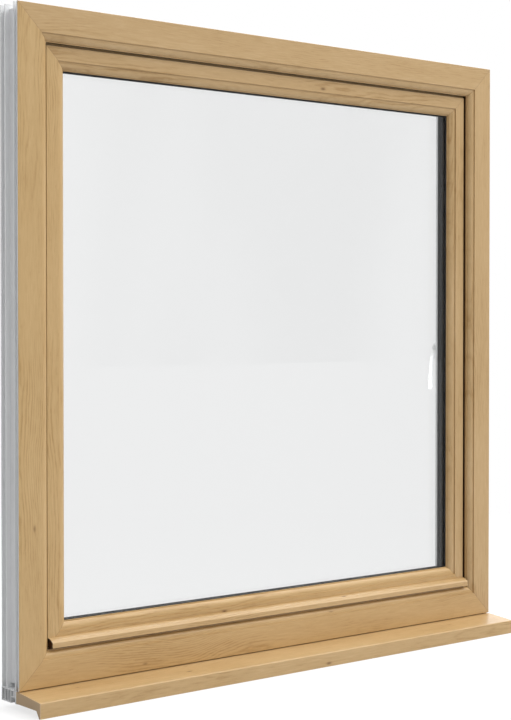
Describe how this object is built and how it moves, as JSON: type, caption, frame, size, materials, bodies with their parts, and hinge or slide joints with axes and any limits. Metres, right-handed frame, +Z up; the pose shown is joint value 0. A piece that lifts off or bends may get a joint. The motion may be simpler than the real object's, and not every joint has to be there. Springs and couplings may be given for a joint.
{
  "type": "tilt and turn window",
  "caption": "Square upvc tilt and turn window with light oak foil outside and white inside, sealed glass unit, drip bar, projecting cill and inner handle.",
  "frame": {"origin": "the underside of the base profile, at the middle of its width and of the frame's depth", "axes": "+X along the width, to the right seen from outside; +Y from outside to inside; +Z up"},
  "size_m": [1.4, 0.2233, 1.441],
  "materials": {
    "oak_foil": "light oak woodgrain foil, fine matt grain",
    "white_upvc": "smooth white, satin",
    "clear_glass": "clear float glass",
    "black_spacer": "matt black warm edge strip",
    "black_gasket": "black rubber, matt",
    "oak_cap": "plain oak brown moulding, satin",
    "white_enamel": "white powder coat, semi gloss"
  },
  "bodies": {
    "window": {"frame_head": "oak_foil", "frame_foot": "oak_foil", "frame_jamb_left": "oak_foil", "frame_jamb_right": "oak_foil", "sash_top_rail": "oak_foil", "sash_bottom_rail": "oak_foil", "sash_stile_left": "oak_foil", "sash_stile_right": "oak_foil", "glazing_bead_head": "white_upvc", "glazing_bead_foot": "white_upvc", "glazing_bead_left": "white_upvc", "glazing_bead_right": "white_upvc", "outer_pane": "clear_glass", "inner_pane": "clear_glass", "glass_spacer": "black_spacer", "outer_glazing_gasket": "black_gasket", "inner_glazing_gasket": "black_gasket", "frame_seal": "black_gasket", "sash_seal": "black_gasket", "drip_bar": "oak_foil", "cill": "oak_foil", "cill_end_cap_left": "oak_cap", "cill_end_cap_right": "oak_cap", "base_profile": "white_upvc", "handle_rosette": "white_enamel", "lower_hinge_bearing": "white_enamel", "lower_hinge_strap": "white_enamel", "lower_hinge_cover": "white_enamel", "upper_stay_bearing": "white_enamel", "upper_stay_strap": "white_enamel", "upper_stay_cover": "white_enamel"},
    "handle": {"handle_lever": "white_enamel"}
  },
  "joints": [
    {"name": "handle_turn", "type": "hinge", "parent": "window", "child": "handle", "pos_m": [0.621, 0.065, 0.7115], "axis": [0, 1, 0], "range_deg": [0, 180]}
  ]
}
